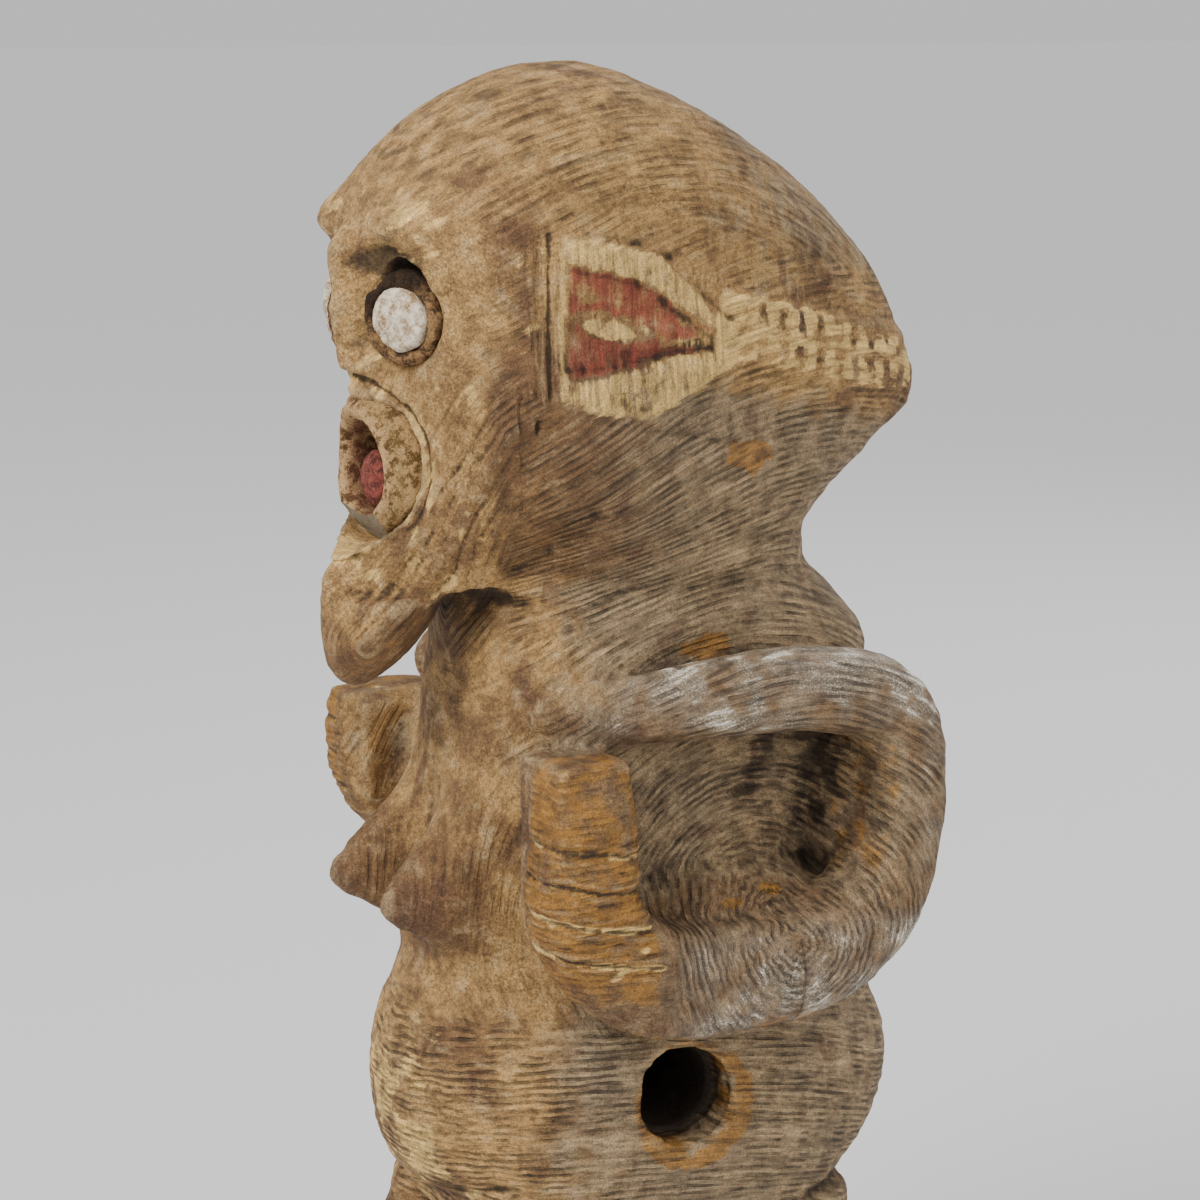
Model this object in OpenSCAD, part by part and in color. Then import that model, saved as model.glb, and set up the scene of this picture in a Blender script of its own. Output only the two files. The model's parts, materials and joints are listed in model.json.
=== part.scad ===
// Carved ancestor figure: a big wedge-faced head, a stout trunk, arms bent into loops and short thick legs.
// +Z is up, the figure faces -Y and its left side is +X. The origin is under the middle of its box,
// on the ground.
// Sizes are in millimetres. Tables hold the figure at 500 tall, and size scales it.

/* [Figure] */
// Height of the figure from its soles to its crown
figure_h = 500; // [400:10:600]
// Half of the distance between the middles of the two legs
leg_x = 35; // [34:1:38]

/* [Face] */
// Diameter of a white eye disc
eye_d = 19; // [14:1:20]
// Diameter of the paste bed around an eye disc
eye_bed_d = 28; // [26:1:32]
// Outer diameter of the mouth ring
mouth_d = 48; // [44:1:52]
// Diameter of the opening in the mouth ring
mouth_open_d = 29; // [20:1:30]

/* [Hip socket] */
// Diameter of the round socket in the left hip
socket_d = 28; // [20:1:30]
// Depth of the socket from the flank
socket_depth = 56; // [30:1:60]

/* [Hidden] */
size = figure_h / 500;

neck_z = 338;     // the head sits on the trunk here
waist_z = 200;    // the trunk sits on the hips here
crotch_z = 128;   // the hips sit on the legs here
arm_plane = 52;   // an arm meets the trunk on this plane, each side of the middle
ring_n = 48;      // points round a section of the head, body or leg
limb_n = 24;      // points round a section of an arm
box_middle = [0.97, 10.56, 0];  // middle of the figure's box, measured from the middle of the trunk

wood = [0.52, 0.42, 0.31];
dark_wood = [0.43, 0.33, 0.24];
paste = [0.63, 0.53, 0.33];
chalk = [0.86, 0.83, 0.78];
red_ochre = [0.60, 0.28, 0.25];

// Sections of the chin, which hangs in front of the neck, and of the rest of the head up to the crown.
// A section leans down towards the back by its last value.
// level, front, widest place, back, half width, front power, back power, lean
CHIN = [
    [309, -91, -87, -83, 4, 2, 2, 0],
    [314, -95, -86, -75, 10, 1.8, 2, 0],
    [324, -97, -84, -65, 18, 1.6, 2, 0],
    [337.9, -97, -78, -57, 25, 1.5, 2, 0]];
HEAD = [
    [338, -97, 0, 70, 46, 1.3, 2.2, 0],
    [350, -97, -6, 72, 49, 1.4, 2, 0.02],
    [364, -86, -20, 80, 53, 1.8, 1.8, 0.06],
    [380, -79, -32, 91, 58, 2, 1.7, 0.11],
    [396, -81, -40, 104, 60, 2, 1.6, 0.16],
    [410, -82, -42, 117, 61, 2, 1.5, 0.2],
    [424, -88, -42, 118, 62, 2, 1.5, 0.22],
    [440, -83, -38, 110, 60, 2, 1.6, 0.22],
    [455, -74, -32, 98, 55, 2, 1.8, 0.22],
    [470, -61, -24, 79, 47, 2, 1.9, 0.22],
    [484, -44, -14, 52, 35, 2, 2, 0.22],
    [493, -26, -7, 24, 22, 2, 2, 0.22],
    [497.5, -10, -3, 4, 6, 2, 2, 0.22]];

// Sections of the hips, trunk and neck, from crotch to neck, in the same order.
BODY = [
    [128, -62, 0, 78, 61, 2.2, 2.4, 0],
    [138, -69, 0, 92, 62, 2.2, 2.3, 0],
    [152, -76, 0, 103, 63, 2.1, 2.2, 0],
    [172, -80, 0, 104, 63, 2, 2.2, 0],
    [190, -78, 0, 96, 60, 2, 2.2, 0],
    [207, -71, 0, 89, 56, 2, 2.3, 0],
    [224, -66, 0, 83, 54, 2, 2.5, 0],
    [250, -61, 0, 81, 53, 2.1, 2.8, 0],
    [279, -59, 0, 85, 55, 2.2, 2.8, 0],
    [300, -56, 2, 89, 59, 2.3, 2.6, 0],
    [315, -55, 4, 90, 58, 2.2, 2.4, 0],
    [327, -55, 2, 81, 52, 2, 2.3, 0],
    [338, -55, 0, 70, 46, 2, 2.2, 0]];

// Sections of a leg, from sole to crotch, in the same order. They are placed leg_x from the middle.
LEG = [
    [0, -62, -10, 46, 25, 2.6, 2.6, 0],
    [14, -60, -10, 48, 26, 2.4, 2.4, 0],
    [28, -42, 4, 54, 25, 2.1, 2.2, 0],
    [44, -38, 4, 58, 25, 2.1, 2.1, 0],
    [62, -58, -10, 54, 27, 2.1, 2.1, 0],
    [80, -70, -14, 56, 28, 2.1, 2.1, 0],
    [100, -68, -4, 68, 29, 2.1, 2.2, 0],
    [116, -62, 0, 74, 29, 2.1, 2.3, 0],
    [128, -59, 0, 73, 28, 2.1, 2.4, 0]];

// Middle line of the left arm: back from the shoulder to the elbow, forward to the wrist and up the hand.
// station, y, z, half thickness in the plane of the bend, inner face, outer face, power
LEFT_ARM = [
    [0, -32, 302, 8, 52, 55, 2],
    [1, -16, 306, 11, 52, 70, 2.2],
    [2, 6, 308, 12, 52, 82, 2.4],
    [3, 38, 308, 13, 52, 85, 2.5],
    [4, 65, 299, 14, 52, 86, 2.5],
    [5, 70, 270, 13, 53, 87, 2.6],
    [6, 62, 240, 15, 54, 88, 2.6],
    [7, 40, 223, 17, 54, 88, 2.5],
    [8, 8, 220, 18, 54, 88, 2.4],
    [9, -24, 225, 18, 54, 87, 2.6],
    [10, -42, 245, 17, 54, 85, 2.8],
    [11, -42, 270, 16, 54, 83, 2.8],
    [12, -41, 294, 13, 54, 78, 2.4]];

// The right forearm is carried higher, and its hand ends short of the upper arm.
RIGHT_ARM = [
    [0, -32, 303, 8, 52, 55, 2],
    [1, -16, 306, 11, 52, 70, 2.2],
    [2, 6, 308, 12, 52, 82, 2.3],
    [3, 38, 308, 12, 52, 84, 2.3],
    [4, 65, 299, 13, 52, 85, 2.4],
    [5, 70, 272, 13, 53, 86, 2.6],
    [6, 62, 247, 14, 54, 86, 2.6],
    [7, 40, 235, 16, 54, 86, 2.5],
    [8, 8, 234, 17, 54, 86, 2.4],
    [9, -26, 243, 17, 54, 84, 2.6],
    [10, -45, 258, 19, 54, 82, 2.8],
    [11, -49, 274, 20, 54, 80, 3],
    [12, -49, 291, 18, 54, 76, 3]];

// The values of a table at key t, on a smooth curve through its rows.
function row_at(t, rows, i = 0) = (i >= len(rows) - 2 || t < rows[i + 1][0]) ? i : row_at(t, rows, i + 1);
function slope(rows, i) =
    let (a = max(i - 1, 0), b = min(i + 1, len(rows) - 1))
    (rows[b] - rows[a]) / (rows[b][0] - rows[a][0]);
function glide(t, rows) =
    let (i = row_at(t, rows), h = rows[i + 1][0] - rows[i][0], s = (t - rows[i][0]) / h)
    (2 * s ^ 3 - 3 * s ^ 2 + 1) * rows[i] + (s ^ 3 - 2 * s ^ 2 + s) * h * slope(rows, i)
    + (3 * s ^ 2 - 2 * s ^ 3) * rows[i + 1] + (s ^ 3 - s ^ 2) * h * slope(rows, i + 1);

// A quarter-turn rule: 1 at c = 1, 0 at c = 0, squarer as the power grows.
function lame(c, power) = sign(c) * pow(abs(c), 2 / power);

// The point at angle a of a section: 0 is the front, 90 the figure's left.
function section_point(a, s) =
    let (c = cos(a), y = s[2] - (c > 0 ? s[2] - s[1] : s[3] - s[2]) * lame(c, c > 0 ? s[5] : s[6]))
    [s[4] * lame(sin(a), c > 0 ? s[5] : s[6]), y, s[0] - s[7] * y];

// A bell curve, 1 in its middle and r wide.
function hill(d, r) = exp(-d * d / (r * r));

// Levels that divide a span evenly.
function levels(low, high, count) = [for (i = [0:count]) low + (high - low) * i / count];

// Closes rings of equal length into one solid.
module skin(rings) {
    n = len(rings[0]);
    last = len(rings) - 1;
    middle = function (ring) [for (c = [0:2]) [for (p = ring) p[c]] * [for (p = ring) 1] / n];
    points = concat([for (ring = rings) each ring], [middle(rings[0]), middle(rings[last])]);
    sides = [for (i = [0:last - 1], j = [0:n - 1])
        let (a = i * n + j, b = i * n + (j + 1) % n)
        each [[a, a + n, b], [b, a + n, b + n]]];
    caps = [for (j = [0:n - 1]) let (b = (j + 1) % n)
        each [[j, b, n * (last + 1)], [last * n + b, last * n + j, n * (last + 1) + 1]]];
    polyhedron(points, concat(sides, caps));
}

// ---- head ----

eye = [24, -79, 425];    // middle of the left eye, on the face
eye_turn = 30;           // an eye looks this far outwards
eye_seat = 5;            // depth of the socket that holds a bed
mouth = [0, -68, 377];   // middle of the flat that the mouth ring sits on
mouth_deep = 12;         // depth of the opening behind the ring

// How far the face stands forward of its plain section: brow arches, nose ridge and sunken eye hollows.
function face_relief(p) =
    let (x = abs(p[0]), z = p[2])
    4 * hill(x - 22, 14) * hill(z - 450, 9)
    - 4 * hill(x - 24, 12) * hill(z - 434, 9)
    + 13 * hill(x, 7) * hill(z - 413, 14);

function head_ring(level, rows) =
    [for (j = [0:ring_n - 1])
        let (p = section_point(360 * j / ring_n, glide(level, rows)))
        [p[0], p[1] - (p[1] < -50 ? face_relief(p) : 0), p[2]]];

module at_eye(side) {
    translate([side * eye[0], eye[1], eye[2]])
        rotate([90, 0, side * eye_turn])
            children();
}

module head() {
    color(wood) difference() {
        skin(concat([for (level = levels(CHIN[0][0], CHIN[3][0], 5)) head_ring(level, CHIN)],
                    [for (level = levels(neck_z, HEAD[12][0], 34)) head_ring(level, HEAD)]));
        for (side = [-1, 1])
            at_eye(side) translate([0, 0, -eye_seat]) cylinder(d = eye_bed_d, h = 30, $fn = 48);
        translate(mouth) rotate([90, 0, 0]) cylinder(d = mouth_d, h = 40, $fn = 64);
        translate(mouth + [0, mouth_deep, 0]) rotate([90, 0, 0]) cylinder(d = mouth_open_d, h = 40, $fn = 48);
    }
}

// A crusted ring of paste, crowned in section, that holds an eye disc.
module eye_bed(side) {
    r = eye_bed_d / 2;
    q = eye_d / 2;
    color(paste) at_eye(side) translate([0, 0, -eye_seat]) rotate_extrude($fn = 64)
        polygon([[0, 0], [r, 0], [r, 5.5], [r - 1.5, 7], [q + 1, 7.2], [q, 6.4], [q, 4], [0, 4]]);
}

module eye_disc(side) {
    r = eye_d / 2;
    rim = 3.6;
    crown = 2.4;
    color(chalk) at_eye(side) translate([0, 0, 4 - eye_seat]) rotate_extrude($fn = 64)
        polygon(concat([[0, 0], [r, 0]], [for (i = [0:6]) [r * cos(15 * i), rim + crown * sin(15 * i)]]));
}

module mouth_ring() {
    r = mouth_d / 2;
    q = mouth_open_d / 2;
    middle = (r + q) / 2;
    rim = 12;
    crown = 6;
    color(paste) translate(mouth) rotate([90, 0, 0]) rotate_extrude($fn = 72)
        polygon(concat([[q, 0], [r, 0]],
            [for (i = [0:10]) [middle + (r - middle) * cos(18 * i), rim + crown * sin(18 * i)]]));
}

// The tongue stands on the floor of the mouth opening, low in the ring.
module tongue() {
    r = 9;
    out = 26;
    color(red_ochre) translate(mouth + [0, mouth_deep, -4]) rotate([90, 0, 0]) rotate_extrude($fn = 40)
        polygon(concat([[0, 0], [r, 0]], [for (i = [0:6]) [r * cos(15 * i), out - 4 + 4 * sin(15 * i)]]));
}

// ---- trunk and hips ----

breast_x = 21;     // half of the distance between the breasts
breast_z = 241;    // height of their tips
breast_out = 30;   // how far they stand out

// A drooping breast: sharp below its tip and long above it.
function breast(p) =
    let (dz = p[2] - breast_z)
    breast_out * hill(abs(p[0]) - breast_x, 15) * hill(dz, dz < 0 ? 13 : 23);

// The trunk is cut flat where the arms meet it, and the hips are left whole.
function body_ring(level, half) =
    [for (j = [0:ring_n - 1])
        let (p = section_point(360 * j / ring_n, glide(level, BODY)))
        [max(-half, min(half, p[0])), p[1] - (p[1] < 0 ? breast(p) : 0), p[2]]];

module trunk() {
    color(wood) skin([for (level = levels(waist_z, neck_z, 34)) body_ring(level, arm_plane)]);
}

socket_y = -1;
socket_z = 177;
flank = 62;

module hips() {
    color(wood) difference() {
        skin([for (level = levels(crotch_z, waist_z, 18)) body_ring(level, 100)]);
        translate([flank - socket_depth, socket_y, socket_z]) rotate([0, 90, 0])
            cylinder(d = socket_d, h = socket_depth + 20, $fn = 64);
    }
}

// ---- limbs ----

// One section of an arm, square to its middle line, between its inner and outer faces.
function arm_ring(t, rows, side) =
    let (s = glide(t, rows), step = 0.05,
         ahead = glide(min(t + step, rows[len(rows) - 1][0]), rows),
         behind = glide(max(t - step, 0), rows),
         dy = ahead[1] - behind[1], dz = ahead[2] - behind[2], run = norm([dy, dz]),
         middle = (s[5] + s[4]) / 2, half = (s[5] - s[4]) / 2)
    [for (j = [0:limb_n - 1])
        let (a = 360 * j / limb_n * side,
             u = s[3] * lame(cos(a), s[6]), v = half * lame(sin(a), s[6]))
        [side * (middle + v), s[1] - u * dz / run, s[2] + u * dy / run]];

module arm(rows, side) {
    last = rows[len(rows) - 1][0];
    color(dark_wood) skin([for (t = levels(0, last, 48)) arm_ring(t, rows, side)]);
}

module leg(side) {
    color(dark_wood) skin([for (level = levels(0, crotch_z, 26))
        [for (j = [0:ring_n - 1])
            section_point(360 * j / ring_n, glide(level, LEG)) + [side * leg_x, 0, 0]]]);
}

scale(size) translate(-box_middle) head();
scale(size) translate(-box_middle) trunk();
scale(size) translate(-box_middle) hips();
scale(size) translate(-box_middle) arm(LEFT_ARM, 1);  // left_arm
scale(size) translate(-box_middle) arm(RIGHT_ARM, -1);  // right_arm
scale(size) translate(-box_middle) leg(1);  // left_leg
scale(size) translate(-box_middle) leg(-1);  // right_leg
scale(size) translate(-box_middle) eye_bed(1);  // left_eye_bed
scale(size) translate(-box_middle) eye_bed(-1);  // right_eye_bed
scale(size) translate(-box_middle) eye_disc(1);  // left_eye_disc
scale(size) translate(-box_middle) eye_disc(-1);  // right_eye_disc
scale(size) translate(-box_middle) mouth_ring();
scale(size) translate(-box_middle) tongue();
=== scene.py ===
"""Carved ancestor figure: the looks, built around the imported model.

The carved block is sculpted as one skin, cut into its named regions, and dressed with crusted eye beds,
chalk discs, a mouth ring and a tongue. Sizes inside the sculpting functions are in millimetres.
"""

import itertools
import json
import math

import bpy
import numpy as np
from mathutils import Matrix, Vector, kdtree


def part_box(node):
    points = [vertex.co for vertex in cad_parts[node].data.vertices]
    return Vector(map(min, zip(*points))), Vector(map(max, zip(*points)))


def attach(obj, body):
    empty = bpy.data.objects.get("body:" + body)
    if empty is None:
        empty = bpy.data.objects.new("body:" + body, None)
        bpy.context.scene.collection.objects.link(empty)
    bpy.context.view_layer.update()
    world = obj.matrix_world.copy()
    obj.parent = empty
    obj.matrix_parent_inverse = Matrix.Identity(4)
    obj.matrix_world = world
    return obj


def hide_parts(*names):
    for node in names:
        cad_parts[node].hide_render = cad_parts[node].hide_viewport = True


bl_info = {
    "name": "Carved Ancestor Figure",
    "version": (1, 0, 0),
    "blender": (4, 5, 0),
    "location": "View3D > Sidebar > Figure",
    "description": "Sculpts and paints a carved wooden ancestor figure",
    "category": "Object",
}

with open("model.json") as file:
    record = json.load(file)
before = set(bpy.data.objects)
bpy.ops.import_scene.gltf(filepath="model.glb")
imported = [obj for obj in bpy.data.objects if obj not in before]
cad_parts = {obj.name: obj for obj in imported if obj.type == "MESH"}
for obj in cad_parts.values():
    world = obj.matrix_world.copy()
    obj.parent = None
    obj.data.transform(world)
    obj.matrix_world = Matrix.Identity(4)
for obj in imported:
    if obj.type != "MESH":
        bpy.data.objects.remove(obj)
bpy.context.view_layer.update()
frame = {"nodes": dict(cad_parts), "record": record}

WOOD = ("head", "trunk", "hips", "left_arm", "right_arm", "left_leg", "right_leg")
MM = 0.001

SOCKET = next(m for m in frame["record"]["mounts"] if m["name"] == "hip_socket")
SOCKET_R = SOCKET["dims"]["r_mm"]
SOCKET_Y = -1.0      # its place from front to back, from the middle of the trunk
SOCKET_ENDS = (5, 59)      # from just past the bore's floor to just inside its lip
SOCKET_Z = SOCKET["pos_m"][2] / MM
low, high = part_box("trunk")
# The sculpting functions measure from the middle of the trunk; this is the frame's origin as they see it.
ORIGIN = Vector((-(low.x + high.x) / 2 / MM, SOCKET_Y - SOCKET["pos_m"][1] / MM, 0))


def box(node):
    """The corners of a CAD node's box, in the sculpting functions' millimetres."""
    return [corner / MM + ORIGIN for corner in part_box(node)]


# Where the block is divided, and where its features lie.
TRUNK_LOW, TRUNK_HIGH = box("trunk")
NECK_Z = TRUNK_HIGH.z
WAIST_Z = TRUNK_LOW.z
CROTCH_Z = box("hips")[0].z
ARM_X = TRUNK_HIGH.x
THROAT_Y = -58.5
MOUTH = sum(box("mouth_ring"), Vector()) / 2
EYE = sum(box("left_eye_disc"), Vector()) / 2
LEAN = 0.22          # the ears and the ridge behind them drop this much for each millimetre back
EAR_LOW, EAR_MIDDLE, EAR_TOP = 390, 416, 442      # levels of the ear
EAR_CUT_Y = -47      # the scored line in front of the ear
BAND_LEVEL = 424.5   # middle of the banded ridge behind the ear
BREAST_X = 21
FOOT_X = 35
TOE_WIDTH = 9.5
LIP_R = 27.5         # the groove round the mouth ring
ROOM = 150           # reach of the blocks that divide the carving
CHIN_LOW = 300       # a level just below the chin


# ---- sculpting rules ----

def bell(distance, reach):
    """1 at no distance, fading to 0 past reach."""
    return np.exp(-(distance / reach) ** 2)


def rise(value, low, high):
    """A smooth step from 0 at low to 1 at high."""
    t = np.clip((value - low) / (high - low), 0, 1)
    return t * t * (3 - 2 * t)


def within(value, low, high, soft):
    """1 between low and high, with edges soft wide."""
    return rise(value, low - soft, low + soft) * (1 - rise(value, high - soft, high + soft))


TABLE = 4096
SCATTER = (73856093, 19349663, 83492791)      # large primes that send neighbouring cells far apart


def grain(points, size, seed):
    """Smooth noise from -1 to 1 whose lumps are size across."""
    table = np.random.default_rng(seed).uniform(-1, 1, TABLE)
    cell = points / np.asarray(size, float)
    low = np.floor(cell).astype(np.int64)
    part = cell - low
    part = part * part * (3 - 2 * part)
    total = np.zeros(len(points))
    for corner in itertools.product((0, 1), repeat=3):
        a, b, c = ((low + corner) * SCATTER).T
        total += table[(a ^ b ^ c) % TABLE] * np.prod(np.where(corner, part, 1 - part), axis=1)
    return total


def rough(points, size, seed, layers=3):
    """Grain in layers, each half the size of the last."""
    total = sum(grain(points, np.asarray(size, float) / 2 ** i, seed + i) / 2 ** i for i in range(layers))
    return total / (2 - 0.5 ** (layers - 1))


def to_path(points, *path):
    """Distance to a path of straight runs, and how far along it the nearest point is, from 0 to 1."""
    near = np.full(len(points), np.inf)
    along = np.zeros(len(points))
    runs = len(path) - 1
    for i in range(runs):
        a = np.array(path[i], float)
        d = np.array(path[i + 1], float) - a
        t = np.clip((points - a) @ d / (d @ d), 0, 1)
        gap = np.linalg.norm(points - a - t[:, None] * d, axis=1)
        closer = gap < near
        near[closer] = gap[closer]
        along[closer] = (i + t[closer]) / runs
    return near, along


def mirrored(points):
    """The points, all brought to the figure's left side."""
    return np.column_stack([np.abs(points[:, 0]), points[:, 1:]])


class Skin:
    """A mesh's points as numbers, in millimetres."""

    def __init__(self, mesh):
        self.mesh = mesh
        count = len(mesh.vertices)
        flat = np.empty(count * 3)
        mesh.vertices.foreach_get("co", flat)
        self.points = flat.reshape(-1, 3) / MM + np.array(ORIGIN)
        flat = np.empty(len(mesh.edges) * 2, np.int32)
        mesh.edges.foreach_get("vertices", flat)
        self.edges = flat.reshape(-1, 2)
        self.valence = np.bincount(self.edges.ravel(), minlength=count).clip(1)

    def normals(self):
        flat = np.empty(len(self.mesh.vertices) * 3)
        self.mesh.vertices.foreach_get("normal", flat)
        return flat.reshape(-1, 3)

    def push(self, height):
        """Moves each point outwards by its height."""
        self.points += self.normals() * height[:, None]
        self.store()

    def store(self):
        self.mesh.vertices.foreach_set("co", ((self.points - np.array(ORIGIN)) * MM).ravel())
        self.mesh.update()

    def relax(self, values, rounds):
        """Values averaged with their neighbours, again and again."""
        a, b = self.edges.T
        count = len(self.valence)
        for _ in range(rounds):
            total = np.column_stack([
                np.bincount(a, column[b], count) + np.bincount(b, column[a], count) for column in values.T])
            values = (values + total / self.valence[:, None]) / 2
        return values


# ---- the carver's forms ----

# Directions from which the left side and the face are both seen, for lines that run from one to the other.
ASLANT = np.array([(0.469, -0.184), (0.883, 0.098), (0, 0.978)])
FACE_EDGE = ((57, -46, 402), (52, -58, 392), (44, -68, 372), (35, -73, 353), (22, -80, 336), (8, -86, 322))
JAW_CREASE = ((52, -30, 366), (47, -46, 353), (40, -56, 343), (25, -62, 335))


def aslant(points):
    """Points of either side, flattened as they lie when looked at from the front of their side."""
    return mirrored(np.atleast_2d(np.asarray(points, float))) @ ASLANT


def ear_place(p):
    """How far back a point is, and its level above or below the ear's leaning middle line."""
    m = mirrored(p)
    inwards = (m[:, 0] - 57) * (1 - rise(m[:, 1], 0, 30))
    y = m[:, 1] + 0.53 * inwards
    return y, m[:, 2] - 0.19 * inwards + 0.05 * inwards + LEAN * y


def face_form(p):
    """Brow arches, eye hollows, nose, lips, cheek folds and the jaw's edge."""
    m = mirrored(p)
    x, y, z = m.T
    seen = aslant(p)
    front = rise(-y, 30, 50)
    brow = 2.4 * bell(x - 30, 15) * bell(z - 453, 5.5) - 2.5 * bell(x - 8, 16) * bell(z - 450, 7)
    cheek = 1.6 * bell(np.hypot(x - 40, (z - 408) / 1.4), 9)
    cheek -= 1.6 * bell(np.hypot(x - 30, (z - 398) / 1.4), 7)
    hollow = -5.5 * bell(x - 22, 15) * bell(z - 442, 6) - 1.5 * bell(x - 44, 8) * bell(z - 432, 12)
    nose = 5.5 * bell(x, 9) * within(z, 420, 450, 6) - bell(x, 9) * bell(z - 414, 10)
    nose += 2.5 * bell(x - 9, 5) * bell(z - 410, 4) - 2 * bell(x, 8) * bell(z - 405, 1.6)
    lip = 3.5 * bell(x, 14) * bell(z - 400, 4) - 4.5 * bell(x, 20) * bell(z - 350, 5) * rise(-y, 78, 90)
    ring = np.hypot(x, z - MOUTH.z)
    groove = -2.2 * bell(ring - LIP_R, 1.8) * rise(-y, 55, 70) * rise(z, 352, 362)
    edge, _ = to_path(seen, *aslant(FACE_EDGE))
    crease, _ = to_path(seen, *aslant(JAW_CREASE))
    side = rise(x, 6, 16) * rise(-y, 10, 30)
    folds = 0.32 * np.sin(2 * math.pi * (edge + 2.4 * grain(p, 12, 3)) / 4.6) * within(edge, 2, 15, 4)
    folds *= (ring > LIP_R - 0.5) * rise(-z, -402, -385) * rise(-y, 52, 60)
    jaw = 1.6 * bell(edge, 3.4) + folds - 3 * bell(crease, 5) * (1 - rise(z, 362, 372))
    return front * (brow + cheek + hollow + nose + lip + groove) + side * jaw


def ear_form(p):
    """A flat ear cut in low relief: a scored front edge, a sunk middle, and a banded ridge behind."""
    m = mirrored(p)
    y, level = ear_place(m)
    side = rise(m[:, 0], 6, 14)
    height = within(level, EAR_LOW, EAR_TOP, 3)
    cut = y - EAR_CUT_Y
    front = -height * (1.3 * bell(cut, 1.3) + 0.8 * bell(cut + 3.5, 0.9) + 0.7 * bell(cut - 3, 0.9))
    top = 433 - 13 * rise(y, -20, 14)
    bottom = 400 + 15 * rise(y, -44, 14)
    sunk = -2.0 * within(level, bottom, top, 2) * within(y, -43, 10, 2)
    lump = 1.8 * bell(np.hypot((y + 29) / 10, (level - EAR_MIDDLE) / 4), 1)
    lump += bell(np.hypot((y + 6) / 14, (level - EAR_MIDDLE - 4) / 3), 1)
    rim = 1.5 * within(level, EAR_LOW, EAR_TOP - 17 * rise(y, -14, 18), 2) * within(y, -44, 18, 3)
    band = 2.0 * within(level, 413.5, 435, 3) * rise(y, 8, 26)
    under = 3.5 * bell(m[:, 2] - 374, 15) * rise(m[:, 1], 35, 70)
    under -= 2.6 * bell(level - 397, 9) * rise(y, -46, -20) * (1 - rise(y, 50, 90))
    return side * (front + sunk + lump + rim + band) + under


def hand_zone(m):
    """1 on the slabs of the hands, in front of the arm loops."""
    return rise(m[:, 0], 58, 66) * rise(-m[:, 1], 20, 28)


def finger_cuts(p):
    """Height above the lowest cut between two fingers, measured across the cuts, and distance to a cut."""
    left = p[:, 0] > 0
    slant = p[:, 2] + 0.16 * (p[:, 1] + 42) + 0.8 * grain(p, 14, 4) - np.where(left, 235, 252.5)
    pitch = np.where(left, 11.2, 12)
    cut = np.clip(np.round(slant / pitch), 0, 3)
    return slant, np.abs(slant - cut * pitch)


def arm_form(p):
    """The seam over each shoulder, the fingers, and the wrinkles and creases across them."""
    m = mirrored(p)
    _, y, z = m.T
    seam, _ = to_path(m, (55, -2, 320), (56, 20, 321), (54, 50, 319), (50, 72, 314))
    crease = -1.6 * bell(seam, 1.4)
    slant, gap = finger_cuts(p)
    cut = -1.1 * bell(gap, 0.8)
    wave = np.sin(2 * math.pi * slant / 3.1 + 2 * grain(p, 9, 5))
    wrinkle = -0.55 * rise(wave, 0.1, 0.9) * within(z, 230, 274, 4)
    knob = 1.5 * bell(np.hypot(y + 40, z - 281), 8)
    return crease + hand_zone(m) * (cut + wrinkle + knob)


def body_form(p):
    """Breast tips, the cleft between the buttocks and the ragged lip of the socket."""
    x, y, z = mirrored(p).T
    tip = 1.5 * bell(np.hypot(x - BREAST_X, z - 241), 7) * rise(-y, 70, 85)
    between = -4 * bell(x, 6) * bell(z - 246, 14) * rise(-y, 58, 72)
    cleft = -5 * bell(x, 5) * within(z, 126, 172, 10) * rise(y, 60, 85)
    lip = np.hypot(p[:, 1] - SOCKET_Y, z - SOCKET_Z)
    ragged = 2.0 * grain(p, 8, 21) + 1.0 * grain(p, 3, 22)
    worn = -2.6 * bell(lip + ragged - SOCKET_R, 2.6) * (p[:, 0] > 50)
    groin = -3 * bell(z - (CROTCH_Z + 6 + 0.35 * x), 4) * rise(-y, 48, 62)
    return tip + between + cleft + worn + groin


def leg_form(p):
    """Toes on the feet and a crease round each ankle."""
    x, y, z = mirrored(p).T
    toe = (x - FOOT_X) / TOE_WIDTH
    gap = np.abs(toe - np.round(toe)) * TOE_WIDTH
    toes = -2.2 * bell(gap, 1.5) * rise(-y, 42, 54) * (1 - rise(z, 12, 20)) * (np.abs(x - FOOT_X) < 21)
    return toes - 2 * bell(z - 27, 5)


def cracks(p):
    """Drying cracks: on the chin, in front of the ear, in the right hand and down the back."""
    runs = [
        ((-3, -97, 336), (-6, -93, 324), (-4, -88, 315)),
        ((57, -50, 400), (56, -52, 388)),
        ((-62, -42, 292), (-61, -42, 262)),
        ((-62, -36, 280), (-61, -37, 252)),
        ((-62, -53, 284), (-61, -52, 268)),
        ((10, 92, 300), (6, 84, 240), (9, 100, 175)),
        ((-30, 70, 470), (-12, 104, 430)),
        ((-50, -30, 180), (-52, -28, 140)),
    ]
    total = np.zeros(len(p))
    wander = p + 0.9 * np.column_stack([grain(p, 9, 51 + i) for i in range(3)])
    for run in runs:
        gap, along = to_path(wander, *run)
        total -= 1.8 * bell(gap, 0.9) * np.sin(math.pi * np.clip(along, 0.02, 0.98))
    return total


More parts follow.
